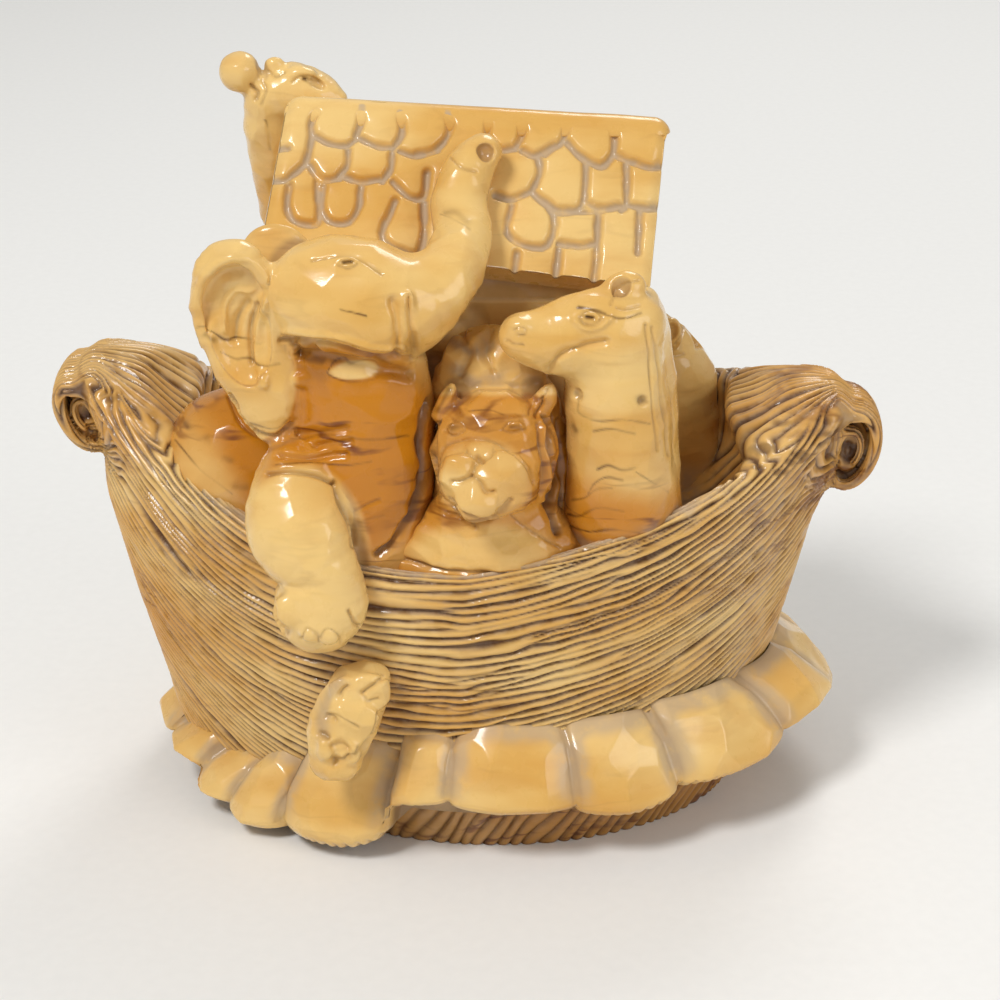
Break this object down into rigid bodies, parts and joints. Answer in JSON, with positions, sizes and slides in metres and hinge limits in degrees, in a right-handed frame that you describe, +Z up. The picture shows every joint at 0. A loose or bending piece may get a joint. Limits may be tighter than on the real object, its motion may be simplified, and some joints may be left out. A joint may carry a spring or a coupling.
{
  "type": "carved noahs ark",
  "caption": "Carved olive-wood ark: a gouged hull with rolled ends over a skirt of waves, a shingled cabin, and an elephant, lion, horse, giraffe and hippo on deck.",
  "frame": {"origin": "middle of the flat underside of the foot, which the carving stands on", "axes": "+X from the stern to the bow, +Y away from the carved front, +Z up"},
  "size_m": [0.1528, 0.0965, 0.1359],
  "materials": {
    "sapwood": "glossy clear lacquer over pale olive wood",
    "heartwood": "glossy clear lacquer over orange-brown olive wood",
    "gouged": "satin clear lacquer over gouged olive wood with grey-brown residue in the grooves"
  },
  "bodies": {
    "root": {"foot": "gouged", "stern_scroll": "gouged", "bow_scroll": "gouged", "hull": "gouged", "wave_skirt": "sapwood", "water_creature": "sapwood", "roof_ridge": "sapwood", "roof_front": "sapwood", "roof_back": "sapwood", "front_shingles_1": "sapwood", "back_shingles_1": "sapwood", "front_shingles_2": "sapwood", "back_shingles_2": "sapwood", "front_shingles_3": "sapwood", "back_shingles_3": "sapwood", "front_shingles_4": "sapwood", "back_shingles_4": "sapwood", "cabin_walls": "heartwood", "elephant_head": "sapwood", "elephant_trunk": "sapwood", "elephant_near_ear": "sapwood", "elephant_foreleg": "sapwood", "elephant_far_ear": "sapwood", "lion_muzzle": "sapwood", "lion_head": "heartwood", "lion_stern_ear": "heartwood", "lion_bow_ear": "heartwood", "elephant_body": "heartwood", "lion_chest": "heartwood", "horse_head": "sapwood", "horse_ear": "sapwood", "horse_neck": "heartwood", "lion_mane": "heartwood", "horse_mane": "sapwood", "elephant_rump": "heartwood", "giraffe_head": "sapwood", "giraffe_horn": "sapwood", "giraffe_ear": "sapwood", "giraffe_neck": "sapwood", "hippo_head": "sapwood", "hippo_ear": "sapwood", "hippo_body": "heartwood"}
  },
  "joints": []
}
